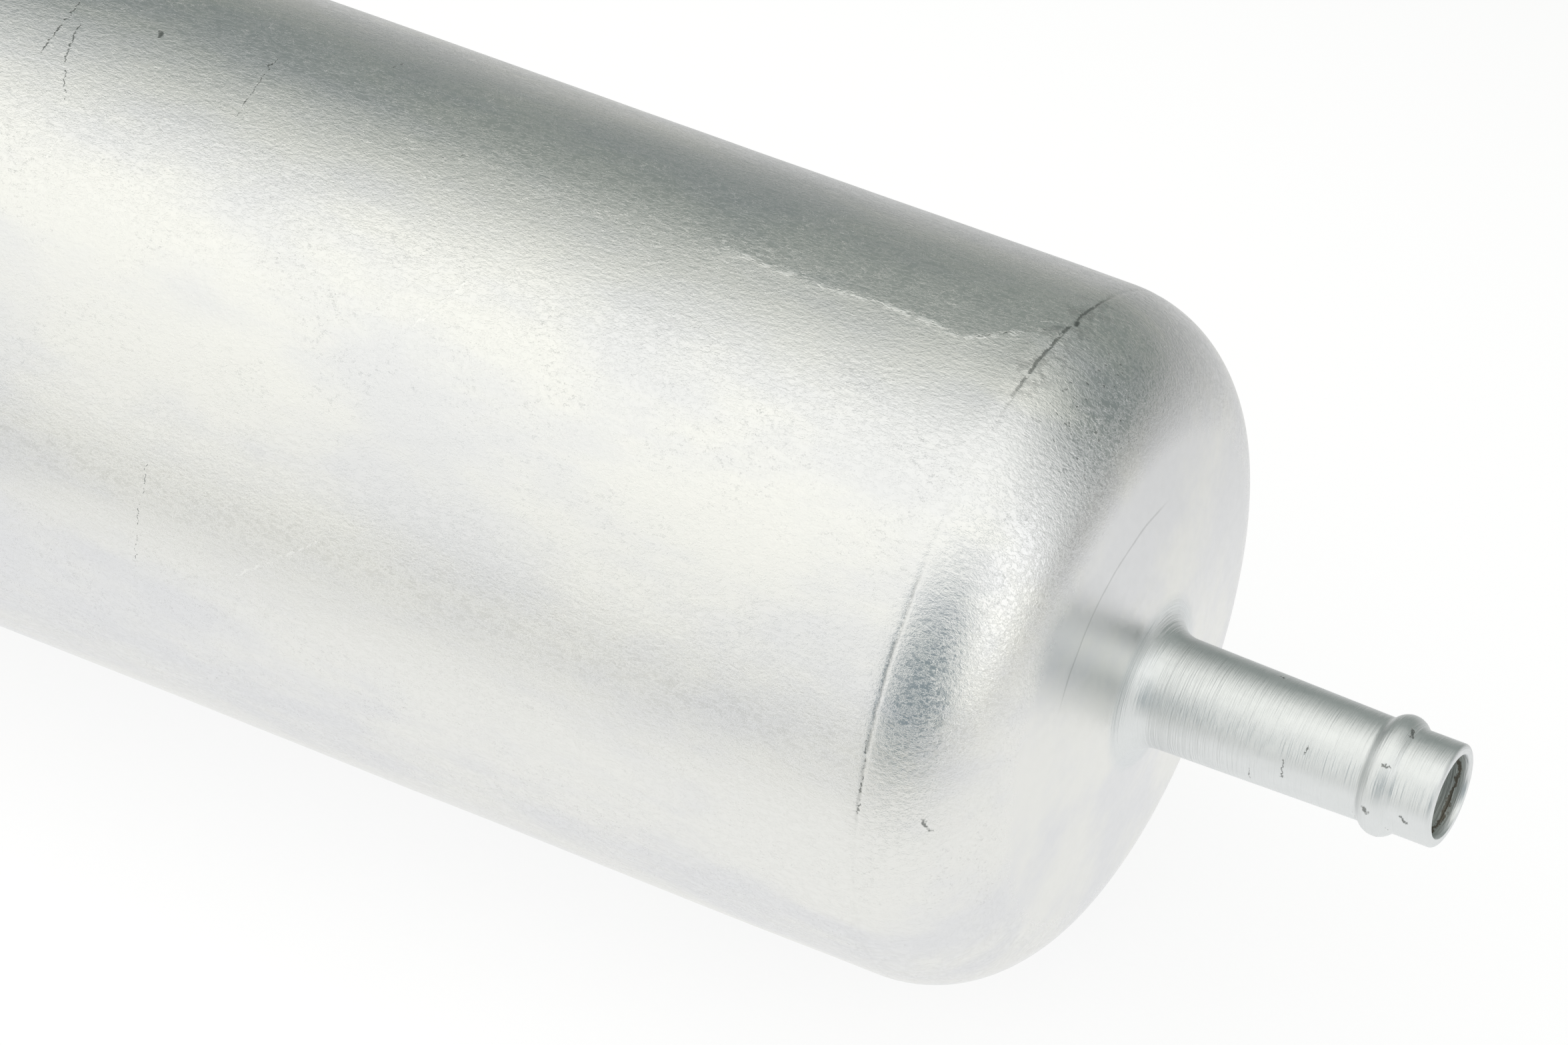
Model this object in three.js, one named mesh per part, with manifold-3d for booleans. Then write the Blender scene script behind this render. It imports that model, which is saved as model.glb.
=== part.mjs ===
// In-line fuel filter. An impact-extruded aluminium can, with its outlet spigot
// drawn and turned from the same metal, is closed by a double-seamed cover that
// carries the inlet spigot. Inside, a spring presses a pleated paper element
// against a seal around the outlet.
//
// Millimetres. +X runs along the axis from inlet to outlet, +Z is up, and the
// origin is on the axis, midway between the tips of the two spigots.

import * as THREE from 'three';
import { mergeVertices } from 'three/addons/utils/BufferGeometryUtils.js';
import Module from 'manifold-3d';

const wasm = await Module();
wasm.setup();

// ---------------------------------------------------------------------------
// Driving dimensions
// ---------------------------------------------------------------------------

const TIP_X = 100; // a spigot's tip from the origin
const GAP = 0.2; // between pieces that touch
const OUTER_SIDES = 32; // facets round the can and cover
const INNER_SIDES = 20; // facets round every smaller ring

const CAN_RADIUS = 27.5;
const CAN_WALL = 0.9;
const SHOULDER_X = TIP_X - 36.4; // where the straight wall ends
const SHOULDER_RADIUS = 10.3;
const SHOULDER_ANGLE = 82.2; // degrees turned before the shallow cone
const OUTLET_SEAT_RADIUS = 9; // flat ring inside, round the outlet bore

const SPIGOT = {
  rootRadius: 4.36,
  neckRadius: 4.07, // just before the hose bead
  tipRadius: 4.05,
  boreRadius: 3.2,
  rootFillet: 2.2,
  chamfer: 0.35,
  beadRadius: 4.7,
  beadWidth: 3.1,
  beadFromTip: 4.6, // bead's crest to the tip
};

const SEAM_X = -76.4; // outermost plane of the double seam
const COVER_SHEET = 0.6;
const HOOK_OVERLAP = 2.2;
const CHUCK_WALL_RADIUS = 25.1; // middle of the cover's inner wall
const PANEL_X = SEAM_X + 8.5; // middle of the recessed panel
const BOSS_X = SEAM_X + 5.5; // middle of the raised centre of the cover
const BOSS_RADIUS = 12.3;
const SPIGOT_HOLE_RADIUS = 6.4;
const SPIGOT_SHOULDER = { radius: 10.2, thickness: 2.8 };
const SEAL_THICKNESS = 1.2;
const WASHER = { inner: 6.3, outer: 9.2, thickness: 1 };

const DISC_SHEET = 0.6; // end discs of the element
const DISC_RADIUS = 24.3;
const DISC_SKIRT = 4;
const OUTLET_DISC_X = SHOULDER_X + 2.3;
const INLET_DISC_X = -52.2;
const OUTLET_BOSS_X = OUTLET_DISC_X + 3.1;
const COLLAR_RADIUS = 4.7;

const POTTING = { inner: 8.5, outer: 23.7, thickness: 2.7 };
const TUBE = { inner: 7.4, outer: 8.2, rows: 6, slotsAcross: 3, slot: [12, 2.6] };
const PLEATS = { count: 40, inner: 10, outer: 23.2, paper: 0.4 };
const CLIP = { inside: 18.6, crown: 24.15, halfWidth: 1.65, sheet: 0.3 };
const BAND = { inner: 23.7, outer: 24.3, width: 2.5, openHalfAngle: 8, places: [-20, 7, 34] };
const PLATE = { radius: 26.2, scallop: 22, lobes: 8, hole: 5, sheet: 0.8 };
const PLATE_RING = { inner: 11.7, outer: 12.5, height: 1.6 };
const SPRING = { radius: 10.5, wire: 0.7, turns: 5, closedPitch: 1.7 };

const { degToRad } = THREE.MathUtils;

// ---------------------------------------------------------------------------
// Materials
// ---------------------------------------------------------------------------

const metal = (color, roughness) => new THREE.MeshStandardMaterial({ color, roughness, metalness: 1 });
const plain = (color, roughness) => new THREE.MeshStandardMaterial({ color, roughness, metalness: 0 });

const aluminium = metal('#c9cac8', 0.35);
const turnedAluminium = metal('#d2d3d2', 0.28);
const tinnedSteel = metal('#b4b6b4', 0.4);
const springSteel = metal('#8e9092', 0.35);
const rubber = plain('#1c1c1d', 0.8);
const paper = plain('#d9c793', 0.95);
const plastisol = plain('#a8572e', 0.6);
const hotMelt = plain('#e6dfc4', 0.5);

// ---------------------------------------------------------------------------
// Outlines, as points (radius, distance along X)
// ---------------------------------------------------------------------------

const at = (radius, x) => new THREE.Vector2(radius, x);

// An arc about (radius, x). An angle of 0 points away from the axis and 90 along +X.
function arc(radius, x, bend, from, to, steps) {
  const points = [];
  for (let i = 0; i <= steps; i += 1) {
    const angle = degToRad(from + ((to - from) * i) / steps);
    points.push(at(radius + bend * Math.cos(angle), x + bend * Math.sin(angle)));
  }
  return points;
}

// The two sides of a sheet whose middle follows the path.
function sheetSides(path, thickness) {
  const left = [];
  const right = [];
  path.forEach((here, i) => {
    const arriving = here.clone().sub(path[Math.max(i - 1, 0)]).normalize();
    const leaving = path[Math.min(i + 1, path.length - 1)].clone().sub(here).normalize();
    const along = arriving.clone().add(leaving).normalize();
    const across = at(-along.y, along.x);
    const reach = thickness / 2 / Math.max(along.dot(arriving), along.dot(leaving));
    left.push(here.clone().addScaledVector(across, reach));
    right.push(here.clone().addScaledVector(across, -reach));
  });
  return { left, right };
}

function sheet(path, thickness) {
  const { left, right } = sheetSides(path, thickness);
  return [...left, ...right.reverse()];
}

const ringOutline = (inner, outer, from, to) => [
  at(inner, from),
  at(outer, from),
  at(outer, to),
  at(inner, to),
];

// ---------------------------------------------------------------------------
// Solids
// ---------------------------------------------------------------------------

// Revolves an outline about the X axis. It either closes on itself or starts and ends on the axis.
function turned(outline, sides) {
  const points = THREE.ShapeUtils.area(outline) > 0 ? outline : [...outline].reverse();
  const loop = points[0].x === 0 ? points : [...points, points[0]];
  const geometry = new THREE.LatheGeometry(loop, sides, Math.PI / sides);
  geometry.rotateZ(-Math.PI / 2);
  return geometry;
}

// Extrudes a shape along X. The shape's x axis ends up pointing down.
function extruded(shape, from, to) {
  const geometry = new THREE.ExtrudeGeometry(shape, { depth: to - from, bevelEnabled: false });
  geometry.rotateY(Math.PI / 2);
  geometry.translate(from, 0, 0);
  return geometry;
}

function solidOf(geometry) {
  const bare = geometry.clone();
  bare.deleteAttribute('normal');
  bare.deleteAttribute('uv');
  const merged = mergeVertices(bare, 1e-4);
  const vertProperties = new Float32Array(merged.attributes.position.array);
  const triVerts = new Uint32Array(merged.index.array);
  return new wasm.Manifold(new wasm.Mesh({ numProp: 3, vertProperties, triVerts }));
}

function geometryOf(solid) {
  const { vertProperties, triVerts } = solid.getMesh();
  const geometry = new THREE.BufferGeometry();
  geometry.setAttribute('position', new THREE.BufferAttribute(vertProperties, 3));
  geometry.setIndex(new THREE.BufferAttribute(triVerts, 1));
  geometry.computeVertexNormals();
  return geometry;
}

// Cuts rows of slots through a tube round the X axis. Each box cuts two opposite slots.
function slotted(tube, firstX, pitch, rows, directions, [length, width], reach) {
  let solid = solidOf(tube);
  for (let row = 0; row < rows; row += 1) {
    for (let direction = 0; direction < directions; direction += 1) {
      const cutter = new THREE.BoxGeometry(length, width, reach);
      cutter.rotateX(((direction + (row % 2) / 2) * Math.PI) / directions);
      cutter.translate(firstX + row * pitch, 0, 0);
      solid = solid.subtract(solidOf(cutter));
    }
  }
  return geometryOf(solid);
}

const polar = (radius, angle) => at(radius * Math.cos(angle), radius * Math.sin(angle));

// ---------------------------------------------------------------------------
// Spigots
// ---------------------------------------------------------------------------

// Outside of a hose spigot from its neck, over the bead, to the bore's edge.
// end is +1 at the outlet and -1 at the inlet.
function hoseEnd(end) {
  const { neckRadius, tipRadius, boreRadius, chamfer, beadRadius, beadWidth, beadFromTip } = SPIGOT;
  const height = beadRadius - tipRadius;
  const bend = (height ** 2 + (beadWidth / 2) ** 2) / (2 * height);
  const halfAngle = THREE.MathUtils.radToDeg(Math.asin(beadWidth / 2 / bend));
  const crestX = end * (TIP_X - beadFromTip);
  return [
    at(neckRadius, crestX - (end * beadWidth) / 2 - end * 0.2),
    ...arc(beadRadius - bend, crestX, bend, -end * halfAngle, end * halfAngle, 4),
    at(tipRadius, end * (TIP_X - chamfer)),
    at(tipRadius - chamfer, end * TIP_X),
    at(boreRadius, end * TIP_X),
  ];
}

// ---------------------------------------------------------------------------
// Double seam: the can's rim and the cover hook into each other
// ---------------------------------------------------------------------------

const SEAM = {
  canWall: CAN_RADIUS - CAN_WALL / 2,
  coverHook: CAN_RADIUS + GAP + COVER_SHEET / 2,
  bodyHook: CAN_RADIUS + 2 * GAP + COVER_SHEET + CAN_WALL / 2,
  outerWall: CAN_RADIUS + 3 * GAP + COVER_SHEET + CAN_WALL + COVER_SHEET / 2,
  innerWall: CAN_RADIUS - CAN_WALL - GAP - COVER_SHEET / 2,
};
const CURL = (SEAM.outerWall - SEAM.innerWall) / 2;
const CURL_X = SEAM_X + CURL + COVER_SHEET / 2;
const HOOK_X = CURL_X + HOOK_OVERLAP;

// ---------------------------------------------------------------------------
// Housing
// ---------------------------------------------------------------------------

function filterCan() {
  const hookBend = (SEAM.bodyHook - SEAM.canWall) / 2;
  const rim = sheetSides(
    [
      at(SEAM.bodyHook, HOOK_X),
      ...arc(SEAM.coverHook, CURL_X, hookBend, 0, -180, 6),
      at(SEAM.canWall, SHOULDER_X),
    ],
    CAN_WALL,
  );

  const turn = degToRad(SHOULDER_ANGLE);
  const slope = 1 / Math.tan(turn); // of the cone, in X for each millimetre of radius
  const bendRadius = CAN_RADIUS - SHOULDER_RADIUS;
  const coneStart = arc(bendRadius, SHOULDER_X, SHOULDER_RADIUS, 0, SHOULDER_ANGLE, 6);
  const coneTop = coneStart.at(-1);
  const coneX = (radius) => coneTop.y + (coneTop.x - radius) * slope;

  const fillet = SPIGOT.rootFillet;
  const filletRadius = SPIGOT.rootRadius + fillet;
  const filletX = coneX(filletRadius) + fillet / Math.sin(turn);

  const insideStart = arc(bendRadius, SHOULDER_X, SHOULDER_RADIUS - CAN_WALL, SHOULDER_ANGLE, 0, 4);
  const insideTop = insideStart[0];
  const seatX = insideTop.y + (insideTop.x - OUTLET_SEAT_RADIUS) * slope;

  return turned(
    [
      ...rim.right.slice(0, -1),
      ...coneStart,
      ...arc(filletRadius, filletX, fillet, 180 + SHOULDER_ANGLE, 180, 4),
      ...hoseEnd(1),
      at(SPIGOT.boreRadius, seatX),
      at(OUTLET_SEAT_RADIUS, seatX),
      ...insideStart.slice(0, -1),
      ...rim.left.reverse(),
    ],
    OUTER_SIDES,
  );
}

function coverPlate() {
  const hookBend = (SEAM.outerWall - SEAM.coverHook) / 2;
  const panelBend = 1.5;
  const path = [
    at(SEAM.coverHook, CURL_X),
    ...arc(SEAM.outerWall - hookBend, HOOK_X, hookBend, 180, 0, 4),
    ...arc(SEAM.outerWall - CURL, CURL_X, CURL, 0, -180, 6),
    at(SEAM.innerWall, SEAM_X + 3.2),
    at(CHUCK_WALL_RADIUS, SEAM_X + 4.4),
    ...arc(CHUCK_WALL_RADIUS - panelBend, PANEL_X - panelBend, panelBend, 0, 90, 3),
    at(BOSS_RADIUS + 1.5, PANEL_X),
    at(BOSS_RADIUS, BOSS_X),
    at(SPIGOT_HOLE_RADIUS, BOSS_X),
  ];
  return turned(sheet(path, COVER_SHEET), OUTER_SIDES);
}

function seamGasket() {
  const inner = CHUCK_WALL_RADIUS + COVER_SHEET / 2 + GAP;
  const outer = CAN_RADIUS - CAN_WALL - GAP;
  return turned(ringOutline(inner, outer, SEAM_X + 4.9, SEAM_X + 8.2), OUTER_SIDES);
}

const BOSS_OUTSIDE = BOSS_X - COVER_SHEET / 2;
const BOSS_INSIDE = BOSS_X + COVER_SHEET / 2;
const SEAL_X = BOSS_OUTSIDE - GAP - SEAL_THICKNESS;
const SHOULDER_INSIDE = SEAL_X - GAP;
const SHOULDER_OUTSIDE = SHOULDER_INSIDE - SPIGOT_SHOULDER.thickness;
const WASHER_X = BOSS_INSIDE + GAP;
const LIP_X = WASHER_X + WASHER.thickness + GAP;

function inletSpigot() {
  const fillet = SPIGOT.rootFillet;
  const neck = SPIGOT_HOLE_RADIUS - 2 * GAP;
  const lip = neck + 1.6;
  const { radius } = SPIGOT_SHOULDER;
  const chamfer = 0.4;
  return turned(
    [
      at(radius, SHOULDER_INSIDE),
      at(radius, SHOULDER_OUTSIDE + chamfer),
      at(radius - chamfer, SHOULDER_OUTSIDE),
      ...arc(SPIGOT.rootRadius + fillet, SHOULDER_OUTSIDE - fillet, fillet, 90, 180, 3),
      ...hoseEnd(-1),
      at(SPIGOT.boreRadius, LIP_X - 0.4),
      at(SPIGOT.boreRadius + 1.2, LIP_X + 1),
      at(lip - 0.6, LIP_X + 1),
      at(lip, LIP_X + 0.5),
      at(lip, LIP_X),
      at(neck, LIP_X),
      at(neck, SHOULDER_INSIDE),
    ],
    INNER_SIDES,
  );
}

const inletSpigotSeal = () =>
  turned(ringOutline(WASHER.inner, SPIGOT_SHOULDER.radius - 0.6, SEAL_X, BOSS_OUTSIDE - GAP), INNER_SIDES);

const inletSpigotWasher = () =>
  turned(ringOutline(WASHER.inner, WASHER.outer, WASHER_X, WASHER_X + WASHER.thickness), INNER_SIDES);

// ---------------------------------------------------------------------------
// Filter element
// ---------------------------------------------------------------------------

const OUTLET_POTTING_X = OUTLET_DISC_X - DISC_SHEET / 2 - 0.3 - POTTING.thickness;
const INLET_POTTING_X = INLET_DISC_X + DISC_SHEET / 2 + 0.3;
const PLEATS_FROM = INLET_POTTING_X + POTTING.thickness + 0.3;
const PLEATS_TO = OUTLET_POTTING_X - 0.3;

// The skirt and corner that both end discs share, running from the rim inwards.
// facing is +1 where the skirt reaches towards -X.
function discRim(x, facing) {
  const bend = 1;
  return [
    at(DISC_RADIUS, x - facing * DISC_SKIRT),
    ...arc(DISC_RADIUS - bend, x - facing * bend, bend, 0, facing * 90, 3),
  ];
}

function outletEndDisc() {
  const bend = 1;
  const path = [
    ...discRim(OUTLET_DISC_X, 1),
    at(11.3, OUTLET_DISC_X),
    at(9.9, OUTLET_BOSS_X),
    ...arc(COLLAR_RADIUS + bend, OUTLET_BOSS_X + bend, bend, -90, -180, 3),
    at(COLLAR_RADIUS, OUTLET_BOSS_X + 4.4),
  ];
  return turned(sheet(path, DISC_SHEET), INNER_SIDES);
}

// Closed disc, with a central pip that locates it in the support plate.
function inletEndDisc() {
  const pipRadius = 3.8;
  const pipHeight = 1.6;
  const path = [
    ...discRim(INLET_DISC_X, -1),
    at(pipRadius + 0.5, INLET_DISC_X),
    at(pipRadius, INLET_DISC_X - pipHeight),
    at(0, INLET_DISC_X - pipHeight),
  ];
  return turned(sheet(path, DISC_SHEET), INNER_SIDES);
}

function potting(fromX, roundedEnd) {
  const { inner, outer, thickness } = POTTING;
  const toX = fromX + thickness;
  const chamfer = 0.6;
  const outline = ringOutline(inner, outer, fromX, toX);
  if (roundedEnd > 0) {
    outline.splice(2, 1, at(outer, toX - chamfer), at(outer - chamfer, toX));
  } else {
    outline.splice(1, 1, at(outer - chamfer, fromX), at(outer, fromX + chamfer));
  }
  return turned(outline, INNER_SIDES);
}

// Rubber ring on the element's collar, pressed against the seat round the outlet bore.
function outletSealRing() {
  const from = OUTLET_BOSS_X + DISC_SHEET / 2 + GAP;
  const to = from + 4.45;
  const inner = COLLAR_RADIUS + DISC_SHEET / 2 + 0.3;
  const outer = 8.6;
  return turned(
    [
      at(inner + 0.8, from),
      at(outer, from),
      at(outer, to - 0.6),
      at(outer - 0.9, to),
      at(inner, to),
      at(inner, from + 0.9),
    ],
    INNER_SIDES,
  );
}

function centreTube() {
  const from = INLET_POTTING_X;
  const to = OUTLET_POTTING_X + POTTING.thickness;
  const tube = turned(ringOutline(TUBE.inner, TUBE.outer, from, to), INNER_SIDES);
  const pitch = (to - from) / (TUBE.rows + 1);
  return slotted(tube, from + pitch, pitch, TUBE.rows, TUBE.slotsAcross, TUBE.slot, 20);
}

// Cup that catches loose fibres before the outlet. Its flange lies under the outlet disc's boss.
function outletStrainer() {
  const flangeX = OUTLET_BOSS_X - 0.8;
  const endX = flangeX - 17;
  const wide = 6;
  const narrow = 4.6;
  const bend = 1.2;
  const path = [
    at(8.6, flangeX),
    at(wide, flangeX),
    at(narrow, endX + bend),
    at(narrow - bend, endX),
    at(0, endX),
  ];
  const cup = turned(sheet(path, 0.5), INNER_SIDES);
  return slotted(cup, endX + 5, 6.5, 2, 4, [4.6, 1.4], 16);
}

// One side of the pleated paper, offset from its middle by half its thickness.
// Every face is radial, and the folds are short and blunt.
function pleatLoop(offset) {
  const points = [];
  const turn = (2 * Math.PI) / PLEATS.count;
  const crest = PLEATS.outer + offset;
  const valley = PLEATS.inner + offset;
  for (let pleat = 0; pleat < PLEATS.count; pleat += 1) {
    const middle = pleat * turn;
    const crestHalf = turn / 4 + Math.asin(offset / crest);
    const valleyHalf = turn / 4 - Math.asin(offset / valley);
    points.push(polar(crest, middle - crestHalf));
    points.push(polar(crest, middle + crestHalf));
    points.push(polar(valley, middle + turn / 2 - valleyHalf));
    points.push(polar(valley, middle + turn / 2 + valleyHalf));
  }
  return points;
}

function pleatPack() {
  const shape = new THREE.Shape(pleatLoop(PLEATS.paper / 2));
  shape.holes.push(new THREE.Path(pleatLoop(-PLEATS.paper / 2)));
  return extruded(shape, PLEATS_FROM, PLEATS_TO);
}

// U-shaped strip that clamps the two ends of the paper together over one fold.
function pleatSeamClip() {
  const { inside, crown, halfWidth, sheet: wall } = CLIP;
  const shape = new THREE.Shape([
    at(inside, -halfWidth),
    at(crown, -halfWidth),
    at(crown, halfWidth),
    at(inside, halfWidth),
    at(inside, halfWidth - wall),
    at(crown - wall, halfWidth - wall),
    at(crown - wall, wall - halfWidth),
    at(inside, wall - halfWidth),
  ]);
  const clearance = DISC_SKIRT + 0.5; // it ends short of both end discs' skirts
  return extruded(shape, INLET_DISC_X + clearance, OUTLET_DISC_X - clearance);
}

// Bead of hot melt that keeps the fold tips apart. It stops either side of the seam clip.
function pleatBand(middleX) {
  const steps = 32;
  const from = degToRad(BAND.openHalfAngle);
  const sweep = 2 * Math.PI - 2 * from;
  const outside = [];
  const inside = [];
  for (let i = 0; i <= steps; i += 1) {
    const angle = from + (sweep * i) / steps;
    outside.push(polar(BAND.outer, angle));
    inside.push(polar(BAND.inner, angle));
  }
  const shape = new THREE.Shape([...outside, ...inside.reverse()]);
  return extruded(shape, middleX - BAND.width / 2, middleX + BAND.width / 2);
}

// ---------------------------------------------------------------------------
// What holds the element
// ---------------------------------------------------------------------------

const PLATE_TO = INLET_DISC_X - DISC_SHEET / 2 - 0.3;
const PLATE_FROM = PLATE_TO - PLATE.sheet;

// Scalloped plate: its lobes centre the element in the can and fuel flows through the scallops.
function supportPlate() {
  const outline = [];
  const turn = (2 * Math.PI) / PLATE.lobes;
  const lobeShare = 0.45;
  for (let lobe = 0; lobe < PLATE.lobes; lobe += 1) {
    for (let i = 0; i <= 3; i += 1) {
      outline.push(polar(PLATE.radius, turn * (lobe + (lobeShare * i) / 3)));
    }
    for (let i = 0; i <= 3; i += 1) {
      const share = lobeShare + 0.06 + ((1 - lobeShare - 0.12) * i) / 3;
      outline.push(polar(PLATE.scallop, turn * (lobe + share)));
    }
  }
  const shape = new THREE.Shape(outline);
  shape.holes.push(new THREE.Path().absarc(0, 0, PLATE.hole, 0, 2 * Math.PI));
  const plate = extruded(shape, PLATE_FROM, PLATE_TO);
  const { inner, outer, height } = PLATE_RING;
  const ring = turned(ringOutline(inner, outer, PLATE_FROM - height, PLATE_FROM + 0.3), INNER_SIDES);
  return geometryOf(solidOf(plate).add(solidOf(ring)));
}

// Coil whose first and last turns are nearly closed.
class SpringCurve extends THREE.Curve {
  constructor(fromX, toX) {
    super();
    this.fromX = fromX;
    this.toX = toX;
  }

  getPoint(t, target = new THREE.Vector3()) {
    const { radius, turns, closedPitch } = SPRING;
    const turn = t * turns;
    const openPitch = (this.toX - this.fromX - 2 * closedPitch) / (turns - 2);
    const start = Math.min(turn, 1) * closedPitch;
    const middle = THREE.MathUtils.clamp(turn - 1, 0, turns - 2) * openPitch;
    const end = Math.max(turn - turns + 1, 0) * closedPitch;
    const angle = turn * 2 * Math.PI;
    return target.set(this.fromX + start + middle + end, radius * Math.cos(angle), radius * Math.sin(angle));
  }
}

function elementSpring() {
  const fromX = BOSS_INSIDE + 0.3 + SPRING.wire;
  const toX = PLATE_FROM - 0.3 - SPRING.wire;
  const wire = [];
  for (let i = 0; i < 6; i += 1) {
    wire.push(polar(SPRING.wire, (i * Math.PI) / 3));
  }
  return new THREE.ExtrudeGeometry(new THREE.Shape(wire), {
    steps: 15 * SPRING.turns,
    extrudePath: new SpringCurve(fromX, toX),
  });
}

// ---------------------------------------------------------------------------
// Assembly
// ---------------------------------------------------------------------------

const group = new THREE.Group();
group.name = 'fuel_filter';

function add(name, geometry, material) {
  const mesh = new THREE.Mesh(geometry, material);
  mesh.name = name;
  group.add(mesh);
}

add('filter_can', filterCan(), aluminium);
add('cover_plate', coverPlate(), aluminium);
add('seam_gasket', seamGasket(), rubber);
add('inlet_spigot', inletSpigot(), turnedAluminium);
add('inlet_spigot_seal', inletSpigotSeal(), rubber);
add('inlet_spigot_washer', inletSpigotWasher(), tinnedSteel);
add('element_spring', elementSpring(), springSteel);
add('support_plate', supportPlate(), tinnedSteel);
add('inlet_end_disc', inletEndDisc(), tinnedSteel);
add('inlet_potting', potting(INLET_POTTING_X, -1), plastisol);
add('pleat_pack', pleatPack(), paper);
add('pleat_seam_clip', pleatSeamClip(), tinnedSteel);
BAND.places.forEach((x, i) => add(`pleat_band_${i + 1}`, pleatBand(x), hotMelt));
add('centre_tube', centreTube(), tinnedSteel);
add('outlet_strainer', outletStrainer(), tinnedSteel);
add('outlet_potting', potting(OUTLET_POTTING_X, 1), plastisol);
add('outlet_end_disc', outletEndDisc(), tinnedSteel);
add('outlet_seal_ring', outletSealRing(), rubber);

export default group;
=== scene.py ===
"""Looks of the in-line fuel filter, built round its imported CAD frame.

The frame's X axis is the filter's own axis, from inlet to outlet. Profiles are lists of
(x, radius) in millimetres, revolved into fine meshes. A surface angle of 0 is at the top of
the filter, and it grows towards -Y.
"""

import math
from types import SimpleNamespace

import bmesh
import bpy
import numpy as np
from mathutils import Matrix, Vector, noise


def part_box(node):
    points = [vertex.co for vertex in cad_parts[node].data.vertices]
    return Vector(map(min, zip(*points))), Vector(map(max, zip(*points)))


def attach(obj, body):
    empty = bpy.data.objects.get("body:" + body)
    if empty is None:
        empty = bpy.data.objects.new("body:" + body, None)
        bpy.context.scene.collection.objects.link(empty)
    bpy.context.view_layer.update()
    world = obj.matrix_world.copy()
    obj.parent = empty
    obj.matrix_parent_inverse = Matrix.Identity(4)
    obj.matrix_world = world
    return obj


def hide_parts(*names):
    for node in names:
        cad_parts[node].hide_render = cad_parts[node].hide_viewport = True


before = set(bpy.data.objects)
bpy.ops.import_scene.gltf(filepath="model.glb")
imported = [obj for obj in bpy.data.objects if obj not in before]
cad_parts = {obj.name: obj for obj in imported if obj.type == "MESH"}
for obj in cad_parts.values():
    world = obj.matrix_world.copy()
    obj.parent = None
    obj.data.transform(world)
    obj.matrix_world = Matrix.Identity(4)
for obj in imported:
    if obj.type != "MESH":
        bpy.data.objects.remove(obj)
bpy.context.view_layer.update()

MM = 0.001


def span(node):
    """Where a CAD node starts and ends along X, in millimetres."""
    low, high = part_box(node)
    return low.x / MM, high.x / MM


# ---------------------------------------------------------------------------
# Sizes, in millimetres and degrees
# ---------------------------------------------------------------------------

TIP_X = span("filter_can")[1]
INLET_TIP_X = span("inlet_spigot")[0]
SEAM_X = span("cover_plate")[0]
FLOOR_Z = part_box("cover_plate")[0].z / MM
GAP = 0.2

CAN_RADIUS = 27.5
CAN_WALL = 0.9
SHOULDER_X = TIP_X - 36.4
SHOULDER_RADIUS = 10.3
SHOULDER_ANGLE = 82.2
SEAT_RADIUS = 9.0

SPIGOT_ROOT = 4.36
SPIGOT_TIP = 4.05
BORE = 3.2
ROOT_FILLET = 2.2
TIP_BEVEL = 0.35
BEAD_HEIGHT = 0.65
BEAD_CREST = 1.45
BEAD_FILLET = 0.5
BEAD_FROM_TIP = 4.6
GROOVE_PITCH = 0.2
GROOVE_DEPTH = 0.01

COVER_SHEET = 0.6
HOOK_OVERLAP = 2.2
CHUCK_WALL_RADIUS = 25.1
BOSS_RADIUS = 12.3
SPIGOT_HOLE = 6.4
SPIGOT_SHOULDER = 10.2
SPIGOT_SHOULDER_THICKNESS = 2.8

BODY_SEGMENTS = 256
FINE_REACH = 22.0  # degrees either side of the top where the segments are closer

CONE_EDGE = (18.0, 22.0)  # radii over which the cone's finish becomes the can's
SPIGOT_EDGE = (7.4, 6.2)  # radii over which the cone's finish becomes the spigot's

CREASE = 1.6  # from the shoulder's start
CREASE_DEPTH = 0.04
FOLD_HEIGHT = 0.15
FOLD_WIDTH = 2.2
# The torn fold's line, as (from the shoulder's start, arc from the top).
FOLD = [(-24, 0.0), (-17, 0.3), (-12, -0.2), (-7, 0.0), (-4.3, 0.4), (-1, -2.2), (1.5, -4.5)]


# ---------------------------------------------------------------------------
# Profiles
# ---------------------------------------------------------------------------

def arc(x, radius, bend, start, end, steps):
    """Points about (x, radius). 0 degrees points away from the axis and 90 along +X."""
    angles = np.radians(np.linspace(start, end, steps + 1))
    return [(x + bend * math.sin(a), radius + bend * math.cos(a)) for a in angles]


def line(start, end, step):
    """Points from start to end, both included, no more than a step apart."""
    count = max(1, math.ceil(math.dist(start, end) / step))
    return [tuple(point) for point in np.linspace(start, end, count + 1)]


def sheet(path, thickness):
    """Closed outline of a sheet whose middle follows the path."""
    points = np.array(path, float)
    steps = np.diff(points, axis=0)
    steps /= np.linalg.norm(steps, axis=1)[:, None]
    arriving = np.vstack([steps[:1], steps])
    leaving = np.vstack([steps, steps[-1:]])
    along = arriving + leaving
    along /= np.linalg.norm(along, axis=1)[:, None]
    reach = thickness / 2 / (along * arriving).sum(axis=1)
    across = np.stack([-along[:, 1], along[:, 0]], axis=1) * reach[:, None]
    outline = np.vstack([points + across, (points - across)[::-1]])
    outline[:, 1] = np.maximum(outline[:, 1], 0)
    return [tuple(point) for point in outline]


def rounded_ring(inner, outer, start, end, corner):
    """Outline of a ring with rounded edges."""
    steps = 4
    return (
        arc(end - corner, outer - corner, corner, 0, 90, steps)
        + arc(end - corner, inner + corner, corner, 90, 180, steps)
        + arc(start + corner, inner + corner, corner, 180, 270, steps)
        + arc(start + corner, outer - corner, corner, 270, 360, steps)
    )


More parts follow.
